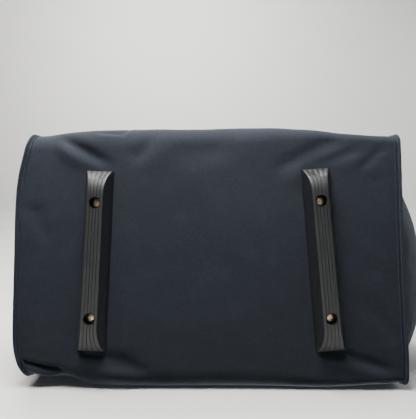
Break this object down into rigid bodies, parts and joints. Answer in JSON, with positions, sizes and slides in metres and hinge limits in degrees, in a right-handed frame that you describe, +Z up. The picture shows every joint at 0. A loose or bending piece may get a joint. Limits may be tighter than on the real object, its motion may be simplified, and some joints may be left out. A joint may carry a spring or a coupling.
{
  "type": "flight bag",
  "caption": "Soft-sided pilot's flight bag in dark woven nylon, standing on ribbed plastic skids screwed through its base, with zipped lid and end pockets.",
  "frame": {"origin": "on the floor, under the middle of the whole bag's box, at the skids' lowest faces", "axes": "+Z up; +X across the bag from end pocket to end pocket; -Y is the front, with the wide slip pocket"},
  "size_m": [0.5546, 0.3416, 0.3215],
  "materials": {
    "bag_cloth": "woven nylon",
    "piping_cloth": "woven nylon over cord",
    "lining_cloth": "brushed knit",
    "foam": "closed-cell foam",
    "stiffener": "sheet",
    "skid_plastic": "satin",
    "screw_brass": "satin",
    "zinc_steel": "satin",
    "webbing": "flat woven webbing",
    "grip_cloth": "padded woven nylon",
    "zip_tape": "twill tape",
    "zip_coil": "satin",
    "zip_metal": "black enamel",
    "ring_metal": "dark nickel"
  },
  "bodies": {
    "shell": {"body_wrap": "bag_cloth", "end_panel_left": "bag_cloth", "end_panel_right": "bag_cloth", "piping_left": "piping_cloth", "piping_right": "piping_cloth", "front_foam": "foam", "back_foam": "foam", "end_foam_left": "foam", "end_foam_right": "foam", "lining": "lining_cloth", "base_board": "stiffener", "floor_pad": "lining_cloth", "skid_left": "skid_plastic", "skid_right": "skid_plastic", "skid_screws": "screw_brass", "skid_washers": "zinc_steel", "skid_nuts": "zinc_steel", "nut_strips": "zinc_steel", "divider_left": "lining_cloth", "divider_right": "lining_cloth", "main_zip_lower_tape": "zip_tape", "main_zip_lower_coil": "zip_coil", "front_pocket": "bag_cloth", "front_straps": "webbing", "back_sleeve": "bag_cloth", "back_straps": "webbing", "end_pocket_left": "bag_cloth", "end_pocket_right": "bag_cloth", "left_pocket_lower_zip": "zip_coil", "right_pocket_lower_zip": "zip_coil", "dring_tab_left": "webbing", "dring_tab_right": "webbing"},
    "lid": {"lid_panel": "bag_cloth", "lid_skirt": "bag_cloth", "lid_board": "stiffener", "lid_piping": "piping_cloth", "main_zip_upper_tape": "zip_tape", "main_zip_upper_coil": "zip_coil"},
    "left_hood": {"left_pocket_hood": "bag_cloth", "left_pocket_upper_zip": "zip_coil"},
    "right_hood": {"right_pocket_hood": "bag_cloth", "right_pocket_upper_zip": "zip_coil"},
    "main_zip_left_slider": {"main_zip_left_slider": "zip_metal"},
    "main_zip_right_slider": {"main_zip_right_slider": "zip_metal"},
    "main_zip_left_pull": {"main_zip_left_pull": "zip_metal"},
    "main_zip_right_pull": {"main_zip_right_pull": "zip_metal"},
    "left_pocket_slider": {"left_pocket_slider": "zip_metal"},
    "right_pocket_slider": {"right_pocket_slider": "zip_metal"},
    "left_pocket_pull": {"left_pocket_pull": "zip_metal"},
    "right_pocket_pull": {"right_pocket_pull": "zip_metal"},
    "front_handle": {"handle_front_loop": "webbing", "handle_wrap": "grip_cloth"},
    "back_handle": {"handle_back_loop": "webbing"},
    "dring_left": {"dring_left": "ring_metal"},
    "dring_right": {"dring_right": "ring_metal"}
  },
  "joints": [
    {"name": "lid_fold", "type": "hinge", "parent": "shell", "child": "lid", "pos_m": [0, 0.16115, 0.29], "axis": [-1, 0, 0], "range_deg": [0, 120]},
    {"name": "left_hood_fold", "type": "hinge", "parent": "shell", "child": "left_hood", "pos_m": [-0.2238, 0.00915, 0.206], "axis": [0, 1, 0], "range_deg": [0, 80]},
    {"name": "right_hood_fold", "type": "hinge", "parent": "shell", "child": "right_hood", "pos_m": [0.2238, 0.00915, 0.206], "axis": [0, -1, 0], "range_deg": [0, 80]},
    {"name": "main_zip_left_run", "type": "slide", "parent": "shell", "child": "main_zip_left_slider", "axis": [-1, 0, 0], "range_m": [0, 0.175]},
    {"name": "main_zip_right_run", "type": "slide", "parent": "shell", "child": "main_zip_right_slider", "axis": [1, 0, 0], "range_m": [0, 0.175]},
    {"name": "left_pocket_zip_run", "type": "slide", "parent": "shell", "child": "left_pocket_slider", "axis": [0, 1, 0], "range_m": [0, 0.132]},
    {"name": "right_pocket_zip_run", "type": "slide", "parent": "shell", "child": "right_pocket_slider", "axis": [0, 1, 0], "range_m": [0, 0.132]},
    {"name": "main_left_pull_swing", "type": "hinge", "parent": "main_zip_left_slider", "child": "main_zip_left_pull", "pos_m": [-0.009, -0.14825, 0.29], "axis": [-1, 0, 0], "range_deg": [0, 165]},
    {"name": "left_pocket_pull_swing", "type": "hinge", "parent": "left_pocket_slider", "child": "left_pocket_pull", "pos_m": [-0.2752, -0.05685, 0.193], "axis": [0, 1, 0], "range_deg": [0, 165]},
    {"name": "dring_left_swing", "type": "hinge", "parent": "shell", "child": "dring_left", "pos_m": [-0.228, 0.00915, 0.268], "axis": [0, 1, 0], "range_deg": [0, 150]},
    {"name": "main_right_pull_swing", "type": "hinge", "parent": "main_zip_right_slider", "child": "main_zip_right_pull", "pos_m": [0.009, -0.14825, 0.29], "axis": [-1, 0, 0], "range_deg": [0, 165]},
    {"name": "right_pocket_pull_swing", "type": "hinge", "parent": "right_pocket_slider", "child": "right_pocket_pull", "pos_m": [0.2752, -0.05685, 0.193], "axis": [0, -1, 0], "range_deg": [0, 165]},
    {"name": "dring_right_swing", "type": "hinge", "parent": "shell", "child": "dring_right", "pos_m": [0.228, 0.00915, 0.268], "axis": [0, -1, 0], "range_deg": [0, 150]},
    {"name": "front_handle_fold", "type": "hinge", "parent": "shell", "child": "front_handle", "pos_m": [0, -0.16625, 0.268], "axis": [1, 0, 0], "range_deg": [-180, 0]},
    {"name": "back_handle_fold", "type": "hinge", "parent": "shell", "child": "back_handle", "pos_m": [0, 0.16975, 0.268], "axis": [-1, 0, 0], "range_deg": [-180, 0]}
  ]
}
